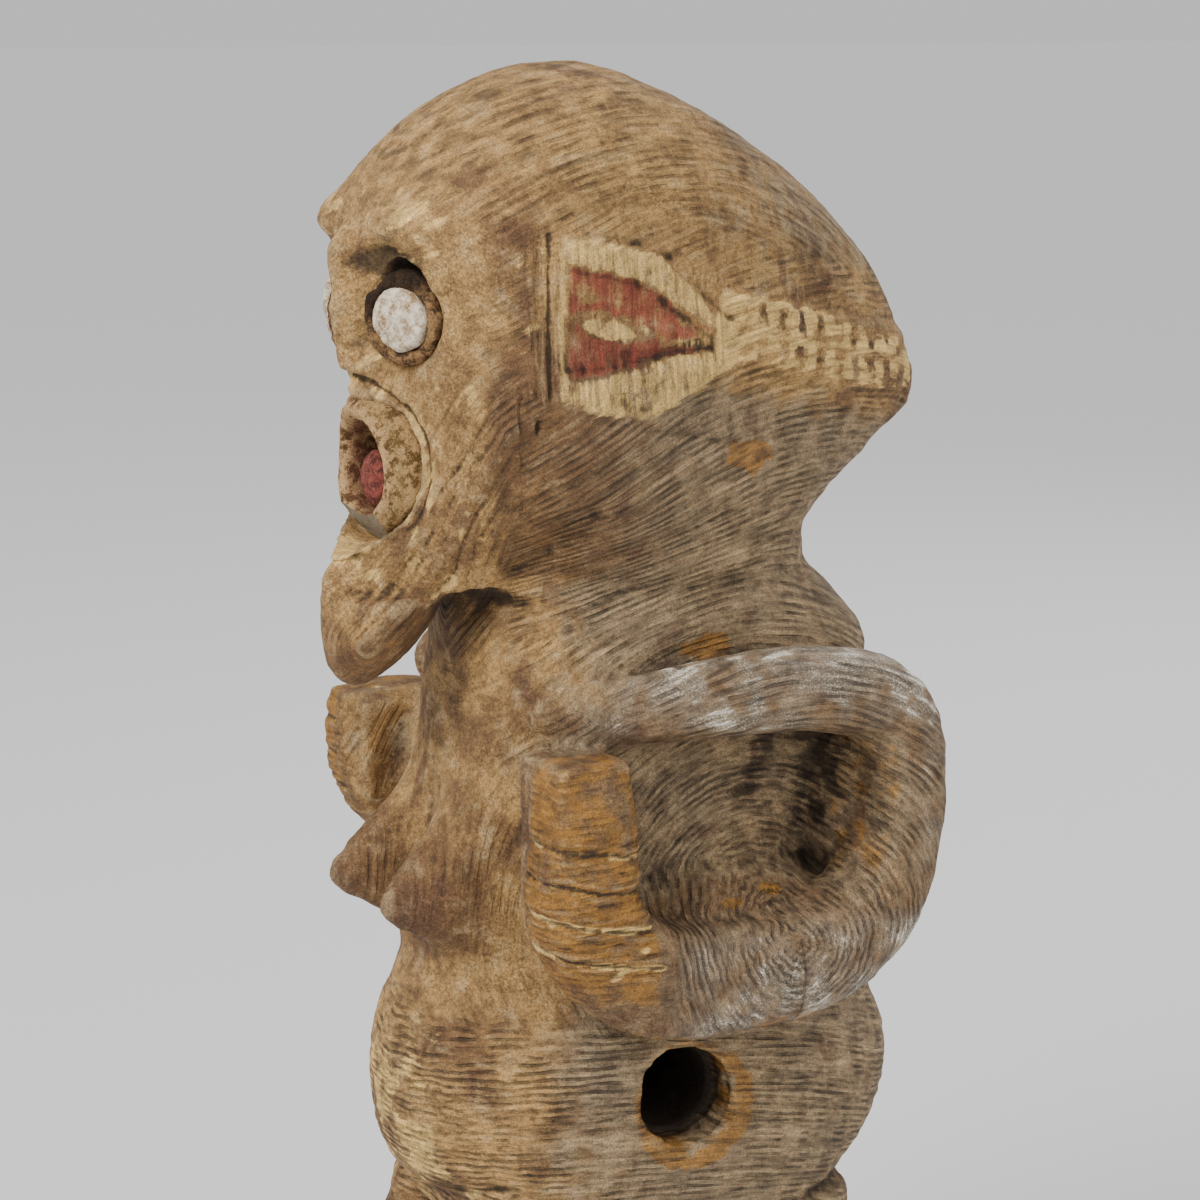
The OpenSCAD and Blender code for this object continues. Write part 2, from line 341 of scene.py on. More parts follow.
def strokes(p):
    """Each point's place across, along and through the carver's strokes, in millimetres.

    First come the arcs round the shoulder and jaw, then the other strokes: swept back over the scalp, level
    on the hips, down the cheeks and upright on the ears. Last comes how far the others take over.
    """
    x, y, z = mirrored(p).T
    ear_y, level = ear_place(p)
    middle = 25 + 35 * rise(z, 325, 370)
    arcs = np.column_stack([np.hypot(y - middle, z - 232), 90 * np.arctan2(y - middle, z - 232), p[:, 0]])
    swept = np.column_stack([np.hypot(y, z - 350), 110 * np.arctan2(y, z - 350), p[:, 0]])
    flat = np.column_stack([z + 0.12 * y + 0.002 * y * y, y + 0.7 * x, p[:, 0]])
    edge, along = to_path(aslant(p), *aslant(FACE_EDGE))
    down = np.column_stack([edge, 110 * along, 0.3 * y])
    upright = np.column_stack([ear_y + 0.06 * z, 1.3 * z, p[:, 0]])
    at_ear = (ear_y > -57) & (ear_y < 24) & (level < 445) & (z > 330)
    others = np.where((level > 440)[:, None], swept, down)
    others = np.where(at_ear[:, None], upright, others)
    others = np.where((z < 305)[:, None], flat, others)
    cheek = within(z, 314, 408, 5) * rise(-y - 0.25 * (x - 30), 44, 54) * (1 - rise(x, 54, 58))
    ear = within(level, 392 + 23 * rise(ear_y, -20, 26), 440, 2) * within(ear_y, -54, 14, 3) * rise(x, 6, 12)
    hand = rise(x, 57, 61) * rise(-y, 18, 24) * within(z, 216, 298, 4)
    turn = np.maximum(rise(level, 446, 458), np.maximum(1 - rise(z, 196, 212), 0.9 * cheek))
    turn = np.maximum(turn, np.maximum(0.9 * ear, hand))
    return arcs, others, turn


# ---- paint and wear ----

# Each is a place, and how far it reaches.
CHIPS = (
    ((45, 27, 379), 10),
    ((42, 13, 351), 5),
    ((48, -44, 326), 6),
    ((55, 11, 321), 8),
    ((25, -66, 240), 7),
    ((60, 70, 158), 6),
    ((30, -76, 226), 4),
    ((-35, 60, 410), 6),
    ((70, 12, 243), 5),
    ((66, 26, 244), 4),
)
STAINS = (
    ((58, -20, 300), (12, 16, 9)),
    ((50, -60, 193), (9, 7, 15)),
    ((55, -56, 432), (8, 5, 10)),
    ((52, -30, 352), (9, 16, 6)),
    ((22, -78, 240), (14, 16, 13)),
)


class Places:
    """Each point's place on the figure, the zones that it is in, and the blots that all paint shares."""

    def __init__(self, p, n):
        self.p, self.n = p, n
        self.m = mirrored(p)
        self.x, self.y, self.z = x, y, z = self.m.T
        self.ear_y, self.level = ear_place(self.m)
        self.blot = rough(p, 16, 61)
        self.spot = rough(p, 5, 71)
        self.streaky = rough(p * (1, 0.3, 1), 5, 75)
        self.left = p[:, 0] > 0
        self.side = rise(x, 6, 12)
        self.face = rise(-y - 0.45 * (x - 20), 44, 56) * rise(z, 325, 345) * (1 - rise(z, 462, 474))
        self.chin_front = rise(-n[:, 1], 0.3, 0.7) * within(z, 322, 352, 8) * rise(-y, 70, 84)
        self.before_ear = within(self.ear_y, -58, -49, 2.5) * within(self.level, 392, 452, 6) * self.side
        self.beside = rise(x, 56, 62)
        self.arm = self.beside * within(z, 198, 325, 4)
        self.hand = hand_zone(self.m) * within(z, 218, 302, 4)
        self.elbow_in = self.arm * rise(-n[:, 1], 0.2, 0.7) * rise(y, 40, 52)
        self.pocket = within(y, -32, 60, 4) * within(z, 245, 298, 4) * (1 - rise(x, 56, 74)) * rise(x, 36, 44)
        in_bore = np.hypot(p[:, 1] - SOCKET_Y, z - SOCKET_Z) < SOCKET_R + 1
        self.hole = in_bore & (p[:, 0] > SOCKET_ENDS[0]) & (p[:, 0] < SOCKET_ENDS[1])


def ear_paint(s):
    """Cream, red and soot of the ears and the banded ridges, and how far these coat the wood."""
    edge = 1.6 * s.spot
    top = EAR_TOP - 17 * rise(s.ear_y, -14, 16)
    low = EAR_LOW + 23 * rise(s.ear_y, -20, 26)
    ear = within(s.level + edge, low, top, 1.5) * within(s.ear_y, -44, 18, 1.5)
    top = 433 - 11 * rise(s.ear_y, -22, 14)
    low = 399 + 17 * rise(s.ear_y, -44, 12)
    inner = within(s.level + edge, low, top, 1) * within(s.ear_y + edge, -41, 9, 2)
    oval = rise(bell(np.hypot((s.ear_y + 27) / 12, (s.level - EAR_MIDDLE) / 3.6), 1), 0.45, 0.6)
    warm = rise(s.streaky, -0.1, 0.4) * bell(s.level - EAR_MIDDLE - 4, 5)
    red = (0.62 + 0.25 * s.blot) * inner * (1 - oval) * (1 - 0.85 * warm)

    band = within(s.level + edge, 414, 435 - 4 * rise(s.y, 60, 110), 1.5) * rise(s.y, 8, 16)
    row = rise(np.sin(2 * math.pi * (s.y - 10) / 9 + 2.2 * s.spot), -0.2, 0.6)
    off = s.level - BAND_LEVEL
    shelf = rise(np.abs(off + 1.5 * s.spot), 0.8, 2.2) * (1 - rise(np.abs(off), 8, 10))
    blocks = band * row * shelf * rise(s.spot, -0.5, 0.1) * rise(s.y, 20, 28)

    cream = s.side * np.clip(ear * (1 - inner) + inner * oval + 0.78 * band * (1 - blocks), 0, 1)
    cream *= 0.5 + 0.3 * rise(s.blot + 0.5 * s.streaky, -0.5, 0.4) + 0.15 * band
    cream = np.maximum(cream, 0.5 * s.side * inner * warm)

    flat = np.column_stack([0 * s.y, s.ear_y, s.level])
    streak, _ = to_path(flat, (0, -22, 409.5), (0, -8, 412), (0, 4, 417))
    soot_and_shade = 0.7 * rise(bell(streak, 3), 0.4, 0.75) * inner + 0.5 * blocks
    soot_and_shade += 0.3 * bell(s.ear_y - EAR_CUT_Y, 1.6) * within(s.level, EAR_LOW, EAR_TOP, 2)
    return cream, red, s.side * soot_and_shade, np.maximum(s.side * ear, 0.8 * band)


def cream_paint(s):
    """Cream on the brow, partly whitish paste and partly a painted highlight on the brow's lit top; cream
    left round the lips, on the chin and face, on the hands and on the belly.
    """
    # The brow's cream lies on top of the brow ridge: partly paste, partly a painted highlight.
    brow = bell(np.hypot((s.x - 28) / 17, (s.z - 456) / 8), 1) * rise(-s.y, 50, 64)
    lips = bell(np.hypot(s.x, s.z - MOUTH.z) - 27, 5) * rise(-s.y, 55, 66)
    belly = bell(np.hypot((s.x - 10) / 32, (s.z - 165) / 30), 1) * rise(-s.y, 40, 60)
    slant, gap = finger_cuts(s.p)
    low_cuts = 0.8 * bell(gap, 1.1) * (slant < 14) * s.left
    fingers = hand_zone(s.m) * (low_cuts + 0.6 * bell(gap, 1))
    scratch, _ = to_path(s.m, (86, -49, 228), (86, -40, 231), (86, -29, 238))
    return np.max([
        0.5 * brow * rise(s.spot, -0.6, 0.2),
        0.66 * lips * rise(s.spot, -0.6, 0.2),
        0.6 * s.chin_front * rise(s.blot + s.spot, -0.3, 0.4),
        0.5 * s.face * rise(s.blot + s.spot, 0.0, 0.7),
        np.maximum(fingers, 0.9 * bell(scratch, 1.4)) * rise(s.spot, -0.5, 0.2),
        0.55 * s.before_ear * rise(s.streaky, -0.1, 0.4),
        0.85 * belly * rise(s.blot + 0.6 * s.spot, -0.1, 0.4),
    ], axis=0)


def shade_and_soot(s):
    """Painted shade in the arm loops, under the chin, under the brows and in the socket's bore, and sooty
    smears on the rest.
    """
    # throat, brow_pit, behind, the pocket and the bore are painted shade; smear and scalp are sooty streaks.
    throat = bell(s.z - 332, 12) * rise(-s.y, 40, 55) * (1 - rise(-s.y, 66, 80)) * (1 - rise(s.x, 30, 44))
    brow_pit = bell(np.hypot((s.x - 20) / 16, (s.z - 441) / 6.5), 1) * rise(-s.y, 55, 70)
    behind = bell(np.linalg.norm((s.m - (55, 47, 270)) * (0.6, 1.6, 0.5), axis=1), 7) * s.beside
    smear = within(s.z, 195, 336, 10) * rise(s.blot + 0.5 * s.streaky, 0.25, 0.6)
    scalp = rise(s.level, 440, 448) * rise(s.y, 0, 30) * rise(s.streaky + 0.3 * s.blot, -0.1, 0.4)
    inside = 0.42 * s.pocket * rise(s.blot, -0.5, 0.3) + 0.55 * throat + 0.95 * brow_pit + 0.2 * behind
    return inside + s.hole + 0.34 * smear + 0.46 * scalp


def wear_and_sheen(s):
    """Handled and chipped orange wood, rubbed grey patina on the arms that is partly a painted sheen, and
    purple-brown stains.
    """
    held = s.hand * (0.62 + 0.25 * (s.blot + s.spot)) * (1 - 0.6 * rise(s.z, 292, 300))
    rim = s.arm * (1 - rise(s.z, 206, 212)) * rise(s.spot, -0.2, 0.4)
    from_lip = np.hypot(s.p[:, 1] - SOCKET_Y - 3, s.z - SOCKET_Z + 3) - SOCKET_R - 3
    lip = bell(from_lip, 5) * (s.p[:, 0] > 40) * rise(s.spot, -0.9, 0.1)
    chips = np.zeros(len(s.p))
    for place, reach in CHIPS:
        away = np.linalg.norm((s.p - place) * (1, 0.7, 1.3), axis=1)
        chips = np.maximum(chips, rise(bell(away, reach) + 0.35 * s.spot, 0.45, 0.7))
    ochre = np.clip(held + 0.42 * s.elbow_in + 0.8 * rim + lip + chips, 0, 1)

    # Grey patina, partly painted sheen: on top of the upper arms, on the elbows' faces turned sideways and
    # back, and low on the arms.
    upper = s.arm * rise(s.z, 294, 302)
    elbow = s.arm * rise(s.y, 60, 72) * rise(np.abs(s.n[:, 0]) + np.maximum(s.n[:, 1], 0), 0.3, 0.8)
    under = s.arm * (1 - rise(s.z, 230, 242)) * rise(s.y, -26, -6)
    patina_and_sheen = (upper + 0.6 * elbow + under) * rise(s.blot + 0.9 * s.spot, -0.7, 0.6)

    purple = rise(rough(s.p, (9, 9, 26), 81), 0.3, 0.62)
    for place, reach in STAINS:
        near = bell(np.linalg.norm((s.m - place) / reach, axis=1), 1)
        purple = np.maximum(purple, 0.85 * near * (s.left | (s.y < -70)))
    return ochre, patina_and_sheen, purple


def weathered(s):
    """Grey wood on the neck, the hips, the back of the scalp and inside the arm loops."""
    neck = rise(-s.level, -412, -396) * rise(s.ear_y + 12 * s.blot, -75, 0)
    hips = rise(-s.z, -205, -180) * rise(s.y + 12 * s.blot, -65, 50)
    scalp = 0.5 * rise(s.level, 440, 460) * rise(s.y, -20, 60)
    grey = 0.9 * np.max([neck, hips, scalp], axis=0)
    return np.clip(0.15 + grey + 0.25 * s.blot + 0.7 * s.pocket, 0, 1) * (1 - 0.8 * s.face)


def tones(s, coated):
    """Umber on the arms, hands and breasts and before the ears; on the jaw's side below the ear and under the
    chin it is painted shade; gold on the scalp, and how strongly the strokes show.
    """
    face_edge, _ = to_path(aslant(s.p), *aslant(FACE_EDGE))
    # Painted shade: the jaw's side below the ear and the underside of the chin are darkened with dark brown.
    jaw = rise(-s.level, -414, -402) * rise(s.z, 335, 350) * (1 - s.face)
    jaw *= (1 - rise(s.ear_y, -10, 40)) * (1 - 0.5 * rise(s.ear_y, -40, 0))
    chin = within(s.z, 300, 338, 6) * rise(-s.y, 58, 64) * (1 - s.chin_front)
    umber = 0.6 * s.arm * (1 - s.hand) * (1 - s.elbow_in) + 0.5 * s.hand
    umber += 0.6 * s.before_ear + 0.7 * jaw + chin
    umber += bell(np.hypot(s.x - BREAST_X, s.z - 242), 25) * rise(-s.y, 50, 62)
    umber += 0.5 * bell(face_edge, 5) * s.side * (1 - rise(s.z, 385, 400))

    scalp = rise(s.level, 436, 446)
    gold = 0.6 * scalp * (1 - 0.6 * rise(s.y, 20, 90)) + 0.4 * rise(s.blot, 0, 0.5)
    gold += 0.5 * s.face + 0.3 * s.hand

    lines = 0.3 + 0.55 * rise(-s.level, -420, -408) * (1 - s.face) + 0.42 * scalp
    lines *= (1 - 0.6 * within(s.z, 205, 318, 8) * rise(-s.y, 10, 35)) * (1 - 0.45 * s.face)
    lines *= 1 - 0.75 * coated
    # Stronger stroke lines under the chin add to its painted shade.
    lines = (lines + 0.3 * chin + 0.2 * (s.z < 205) + 0.2 * s.hand + 0.3 * s.blot) * (1 - s.hole)
    return umber, gold, lines


def paint_masks(p, n, cavity, turn):
    """Where each pigment, stain and worn patch lies, with the painted shade and painted sheen, as sets of
    three numbers from 0 to 1.
    """
    s = Places(p, n)
    cream, red, soot_and_shade, coated = ear_paint(s)
    return {
        # The first set's third number holds sooty smears and painted shade.
        "pigment": (np.maximum(cream, cream_paint(s)), red, soot_and_shade + shade_and_soot(s)),
        "wear_and_sheen": wear_and_sheen(s),
        "ground": (weathered(s), cavity * (1 - s.hole), turn),
        "tone": tones(s, coated),
    }


# ---- small helpers ----

STROKES = ("stroke_round", "stroke_other")      # the attributes that hold the two kinds of strokes
CUT_REACH = 0.004                               # a point this close to a cut was made by it, in millimetres
SMOOTH_ANGLE = math.radians(70)


def deselect():
    if bpy.context.mode != "OBJECT":
        bpy.ops.object.mode_set(mode="OBJECT")
    bpy.ops.object.select_all(action="DESELECT")


def pick(*objects):
    deselect()
    for o in objects:
        o.select_set(True)
    bpy.context.view_layer.objects.active = objects[0]


def mend(piece, source):
    """Gives the points made by a cut the paint of the nearest point of the uncut skin."""
    x, y, z = Skin(piece).points.T
    cuts = [np.abs(np.abs(x) - ARM_X), np.abs(x), np.abs(y - THROAT_Y)]
    cuts += [np.abs(z - level) for level in (NECK_Z, WAIST_Z, CROTCH_Z)]
    lost = np.flatnonzero(np.min(cuts, axis=0) < CUT_REACH)
    tree = kdtree.KDTree(len(source.vertices))
    for i, v in enumerate(source.vertices):
        tree.insert(v.co, i)
    tree.balance()
    near = np.array([tree.find(piece.vertices[int(i)].co)[1] for i in lost], int)
    for name in [a.name for a in source.attributes if a.name in STROKES or a.data_type == "FLOAT_COLOR"]:
        word, size = ("vector", 3) if name in STROKES else ("color", 4)
        whole, mine = (np.zeros(len(mesh.vertices) * size, np.float32) for mesh in (source, piece))
        source.attributes[name].data.foreach_get(word, whole)
        piece.attributes[name].data.foreach_get(word, mine)
        mine.reshape(-1, size)[lost] = whole.reshape(-1, size)[near]
        piece.attributes[name].data.foreach_set(word, mine)


def copy_of(node, name):
    """A free copy of a CAD node, merged so that it can be sculpted."""
    original = frame["nodes"][node]
    made = bpy.data.objects.new(name, original.data.copy())
    bpy.context.scene.collection.objects.link(made)
    made.data.materials.clear()
    pick(made)
    bpy.ops.object.mode_set(mode="EDIT")
    bpy.ops.mesh.select_all(action="SELECT")
    bpy.ops.mesh.remove_doubles(threshold=1e-6)
    bpy.ops.object.mode_set(mode="OBJECT")
    return made


def apply(o, kind, **settings):
    modifier = o.modifiers.new(kind.title(), kind)
    for key, value in settings.items():
        setattr(modifier, key, value)
    pick(o)
    bpy.ops.object.modifier_apply(modifier=modifier.name)


def finish_piece(o, node, material):
    """Gives a piece its material and smooth shading, sets it on the root, and hides the CAD node that it
    takes the place of.
    """
    o.data.materials.clear()
    o.data.materials.append(material)
    pick(o)
    bpy.ops.object.shade_smooth_by_angle(angle=SMOOTH_ANGLE, keep_sharp_edges=False)
    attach(o, "root")
    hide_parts(node)


def store_masks(mesh, masks):
    for name, columns in masks.items():
        layer = mesh.attributes.new(name, "FLOAT_COLOR", "POINT")
        values = np.column_stack([*columns, np.ones(len(columns[0]))]).clip(0, 1)
        layer.data.foreach_set("color", values.astype(np.float32).ravel())


# ---- materials ----

def shade(hex_code):
    """A screen colour as linear light."""
    parts = [int(hex_code[i:i + 2], 16) / 255 for i in (0, 2, 4)]
    return tuple(c / 12.92 if c < 0.04045 else ((c + 0.055) / 1.055) ** 2.4 for c in parts) + (1,)


class Graph:
    """Short words for building a material's nodes."""

    def __init__(self, name):
        self.material = bpy.data.materials.new(name)
        self.material.use_nodes = True
        self.tree = self.material.node_tree
        self.tree.nodes.clear()
        self.shader = self.add("ShaderNodeBsdfPrincipled")
        out = self.add("ShaderNodeOutputMaterial")
        self.tree.links.new(self.shader.outputs[0], out.inputs[0])
        self.here = self.scale(self.add("ShaderNodeTexCoord").outputs["Object"], (1 / MM,) * 3)

    def add(self, kind, **settings):
        node = self.tree.nodes.new(kind)
        for key, value in settings.items():
            setattr(node, key, value)
        return node

    def plug(self, socket, value):
        if isinstance(value, bpy.types.NodeSocket):
            self.tree.links.new(value, socket)
        else:
            socket.default_value = value

    def scale(self, vector, by):
        node = self.add("ShaderNodeVectorMath", operation="MULTIPLY")
        self.plug(node.inputs[0], vector)
        self.plug(node.inputs[1], by)
        return node.outputs[0]

    def math(self, operation, a, b=0.0, clamp=False):
        node = self.add("ShaderNodeMath", operation=operation, use_clamp=clamp)
        self.plug(node.inputs[0], a)
        self.plug(node.inputs[1], b)
        return node.outputs[0]

    def noise(self, size, detail=2.0, stretch=(1, 1, 1), seed=0.0, roughness=0.5, at=None):
        """Noise from 0 to 1 whose lumps are size millimetres across."""
        where = self.scale(at or self.here, tuple(s / size for s in stretch))
        node = self.add("ShaderNodeTexNoise", noise_dimensions="4D")
        self.plug(node.inputs["Vector"], where)
        node.inputs["W"].default_value = seed
        node.inputs["Scale"].default_value = 1.0
        node.inputs["Detail"].default_value = detail
        node.inputs["Roughness"].default_value = roughness
        return node.outputs[0]

    def ramp(self, value, low, high, to_low=0.0, to_high=1.0):
        node = self.add("ShaderNodeMapRange", interpolation_type="SMOOTHSTEP", clamp=True)
        for socket, number in zip(node.inputs, (value, low, high, to_low, to_high)):
            self.plug(socket, number)
        return node.outputs[0]

    def mix(self, factor, a, b, blend="MIX"):
        node = self.add("ShaderNodeMix", data_type="RGBA", blend_type=blend, clamp_factor=True)
        self.plug(node.inputs[0], factor)
        self.plug(node.inputs[6], a)
        self.plug(node.inputs[7], b)
        return node.outputs[2]

    def masks(self, name):
        source = self.add("ShaderNodeAttribute", attribute_name=name)
        split = self.add("ShaderNodeSeparateColor")
        self.tree.links.new(source.outputs["Color"], split.inputs[0])
        return split.outputs[:3]

    def bump(self, height, distance_mm, strength=1.0, under=None):
        node = self.add("ShaderNodeBump")
        node.inputs["Strength"].default_value = strength
        node.inputs["Distance"].default_value = distance_mm * MM
        self.plug(node.inputs["Height"], height)
        if under is not None:
            self.plug(node.inputs["Normal"], under)
        return node.outputs[0]


class WoodGraph(Graph):
    """The wood's masks and noises, and the colour that is laid up from them."""

    def __init__(self, palette):
        super().__init__("carved_wood")
        self.inks = {name: tuple(getattr(palette, name)) + (1,) for name in (
            "tan", "brown", "grey", "dust", "stain", "patina_and_sheen", "ochre", "soot_and_shade", "cream", "red")}
        self.cream, self.red, self.soot_and_shade = self.masks("pigment")
        self.ochre, self.patina_and_sheen, self.purple = self.masks("wear_and_sheen")
        self.grey, self.cavity, self.turn = self.masks("ground")
        self.umber, self.gold, self.lines = self.masks("tone")
        self.patch = self.noise(7, 4, seed=2, roughness=0.6)
        self.grit = self.noise(2.2, 5, seed=5, roughness=0.75)
        self.speck = self.noise(0.55, 3, seed=4, roughness=0.7)
        self.crumbs = self.noise(1.2, 3, seed=10, roughness=0.7)
        self.ways = [self.add("ShaderNodeAttribute", attribute_name=name).outputs["Vector"]
                     for name in STROKES]
        self.hairs = self.follow(
            lambda way: self.noise(1.7, 4, (1, 0.08, 0.3), seed=6, roughness=0.65, at=way))
        self.dashes = self.follow(
            lambda way: self.noise(3.4, 4, (1, 0.22, 0.4), seed=7, roughness=0.7, at=way))
        here_and_there = self.ramp(self.noise(10, 3, seed=9), 0.4, 0.6)
        self.cut = self.both(self.both(self.follow(self.groove), here_and_there), self.lines)
        broad = self.noise(26, 3, seed=1)
        self.colour = self.mix(self.ramp(broad, 0.38, 0.68), self.inks["tan"], self.inks["brown"])

    def part(self, factor, mask):
        return self.math("MULTIPLY", mask, factor)

    def both(self, one, other):
        return self.math("MULTIPLY", one, other)

    def blend(self, share, a, b):
        """The first pattern where the share is 1, and the second where it is 0."""
        return self.math("ADD", self.both(a, share), self.both(b, self.math("SUBTRACT", 1, share)))

    def follow(self, pattern):
        """A pattern laid along the arcs, giving way to the same pattern along the other strokes."""
        arcs, others = (pattern(way) for way in self.ways)
        return self.blend(self.turn, others, arcs)

    def groove(self, way):
        """Swaying lines 2.4 mm apart."""
        apart = self.add("ShaderNodeSeparateXYZ")
        self.plug(apart.inputs[0], way)
        sway = self.part(1.6, self.noise(7, 3, (1, 0.35, 0.5), seed=8, at=way))
        phase = self.math("ADD", self.part(1 / 2.4, apart.outputs[0]), sway)
        return self.ramp(self.math("SINE", self.part(2 * math.pi, phase)), 0.0, 0.9)

    def breakup(self, mask, spread, source, low=0.34, high=0.66):
        """A mask with its edge eaten away by noise."""
        wander = self.part(spread, self.math("SUBTRACT", source, 0.5))
        return self.ramp(self.math("ADD", mask, wander), low, high)

    def lay(self, ink, strength, mask):
        """Lays an ink over the colour so far, where the mask is."""
        self.colour = self.mix(self.part(strength, mask), self.colour, self.inks[ink])


def bare_wood(w):
    """Golden, grey and dark brown wood, the dark brown partly painted shade under the jaw and chin, dust on
    the ridges of the strokes, stains and grit.
    """
    w.lay("tan", 0.6, w.breakup(w.gold, 1.2, w.patch, 0.25, 0.75))
    w.lay("grey", 0.8, w.breakup(w.grey, 1.8, w.patch, 0.15, 0.85))
    # Dark brown wood, partly painted shade under the jaw and chin.
    w.lay("brown", 0.85, w.breakup(w.umber, 1.6, w.dashes, 0.25, 0.75))
    w.lay("dust", 0.42, w.ramp(w.blend(w.lines, w.dashes, w.patch), 0.5, 0.68))
    w.lay("dust", 0.25, w.ramp(w.crumbs, 0.6, 0.72))
    w.lay("stain", 0.28, w.ramp(w.patch, 0.5, 0.36))
    w.lay("stain", 0.5, w.breakup(w.purple, 0.9, w.grit))
    w.lay("brown", 0.6, w.ramp(w.grit, 0.52, 0.34))


def handled_wood_and_sheen(w):
    """Grey patina with pale specks that are partly a painted sheen, and orange wood with brown dashes."""
    w.lay("grey", 0.65, w.patina_and_sheen)
    sheen_specks = w.math("ADD", w.part(0.2, w.patina_and_sheen), w.math("MAXIMUM", w.speck, w.hairs))
    # Pale specks of patina and painted sheen.
    w.lay("patina_and_sheen", 1, w.both(w.ramp(w.ramp(sheen_specks, 0.7, 0.84), 0, 1, 0.1, 0.85), w.patina_and_sheen))
    w.lay("ochre", 0.75, w.breakup(w.ochre, 1.1, w.patch))
    w.lay("brown", 0.5, w.both(w.ramp(w.dashes, 0.5, 0.36), w.ochre))


def pigments_shade_and_highlight(w):
    """Sooty black with painted shade, red, and cream with a painted highlight on the brow, broken up along
    the strokes.
    """
    # Sooty smears, together with painted shade in the arm loops, under the chin and brows and in the socket's
    # bore.
    w.lay("soot_and_shade", 0.8, w.breakup(w.soot_and_shade, 1.1, w.dashes))
    w.lay("red", 0.85, w.breakup(w.red, 1.2, w.dashes))
    w.lay("cream", 0.85, w.breakup(w.cream, 2.0, w.dashes))


def grime_and_shade(w):
    """Darker along the grooves of the strokes, painted shade in the hollows, paler colour on what stands
    proud, and the light and dark of the fibres.
    """
    # Darker along the grooves of the strokes.
    w.lay("soot_and_shade", 0.6, w.cut)
    w.lay("soot_and_shade", 0.6, w.both(w.ramp(w.dashes, 0.44, 0.3), w.lines))
    # Painted shade in the hollows.
    w.lay("soot_and_shade", 0.85, w.ramp(w.cavity, 0.45, 0.1))
    # Paler where the surface stands proud.
    w.lay("dust", 0.3, w.ramp(w.cavity, 0.62, 0.95))
    combed = w.math("ADD", w.math("ADD", w.lines, 0.1), w.math("MAXIMUM", w.cream, w.red), clamp=True)
    light = w.ramp(w.blend(combed, w.hairs, w.crumbs), 0.3, 0.7, 0.48, 1.38)
    light = w.both(light, w.ramp(w.speck, 0.3, 0.65, 0.55, 1.27))
    light = w.both(light, w.ramp(w.patch, 0.34, 0.64, 0.86, 1.1))
    plain = w.add("ShaderNodeCombineColor")
    for socket in plain.inputs:
        w.plug(socket, light)
    w.colour = w.mix(1.0, w.colour, plain.outputs[0], "MULTIPLY")


def carved_wood(palette):
    """Old carved wood: the carver's strokes, a dusty ground, pigment, stains and handled, worn wood, with
    painted shade in the hollows, arm loops and under the jaw and chin, and a painted sheen on the arms.
    """
    w = WoodGraph(palette)
    bare_wood(w)
    handled_wood_and_sheen(w)
    pigments_shade_and_highlight(w)
    grime_and_shade(w)
    w.plug(w.shader.inputs["Base Color"], w.colour)
    sheen = w.math("ADD", w.patina_and_sheen, w.part(0.6, w.ochre))
    w.plug(w.shader.inputs["Roughness"], w.ramp(sheen, 0, 1, 0.84, 0.45))
    w.shader.inputs["Specular IOR Level"].default_value = 0.35
    normal = w.bump(w.math("SUBTRACT", w.part(0.5, w.grit), w.cut), 0.8, 0.9)
    normal = w.bump(w.hairs, 0.5, 0.9, normal)
    normal = w.bump(w.dashes, 0.7, 0.5, normal)
    w.plug(w.shader.inputs["Normal"], w.bump(w.speck, 0.25, 0.8, normal))
    return w.material


def dry_paste(g, colour, dots, lumps, fine, coarse):
    """Finishes a paste's material: matt, with small dots over coarser lumps, as high as fine and coarse."""
    g.plug(g.shader.inputs["Base Color"], colour)
    g.shader.inputs["Roughness"].default_value = 0.9
    g.shader.inputs["Specular IOR Level"].default_value = 0.25
    g.plug(g.shader.inputs["Normal"], g.bump(dots, fine, 0.9, g.bump(lumps, coarse, 0.9)))
    return g.material


def crust(name, base, dark, light, lump, shadow=None):
    """Dry granular paste, darker in its pits and where the mask called shadow lies."""
    g = Graph(name)
    lumps = g.noise(lump, 5, seed=11, roughness=0.7)
    dots = g.noise(0.8, 3, seed=12, roughness=0.7)
    colour = g.mix(g.ramp(lumps, 0.38, 0.62), dark, base)
    colour = g.mix(g.ramp(dots, 0.5, 0.75), colour, light)
    colour = g.mix(g.ramp(dots, 0.45, 0.25), colour, dark)
    if shadow:
        colour = g.mix(g.math("MULTIPLY", g.masks(shadow)[0], 0.9), colour, shade("1c120b"))
    return dry_paste(g, colour, dots, lumps, 0.5, 1.1)


def lip_paste():
    """Pale paste of the lips: red-brown inside, greenish at its rim and grey where it is worn flat."""
    g = Graph("mouth_paste")
    inside, green, flat = g.masks("tint")
    lumps = g.noise(4, 5, seed=21, roughness=0.7)
    dots = g.noise(0.7, 3, seed=22, roughness=0.7)
    colour = g.mix(g.ramp(lumps, 0.42, 0.54), shade("5a3f22"), shade("b89364"))
    colour = g.mix(g.math("MULTIPLY", green, 0.5), colour, shade("6e5a2c"))
    colour = g.mix(inside, colour, shade("5a3226"))
    colour = g.mix(g.math("MULTIPLY", flat, 0.8), colour, shade("7c786a"))
    colour = g.mix(g.math("MULTIPLY", g.ramp(dots, 0.56, 0.7), 0.6), colour, shade("cdb48a"))
    colour = g.mix(g.ramp(dots, 0.48, 0.3), colour, shade("3c2816"))
    return dry_paste(g, colour, dots, lumps, 0.4, 0.9)


# ---- settings ----

def colour_of(name, description, code):
    return bpy.props.FloatVectorProperty(
        name=name, description=description, subtype="COLOR", size=3, min=0, max=1, default=shade(code)[:3])


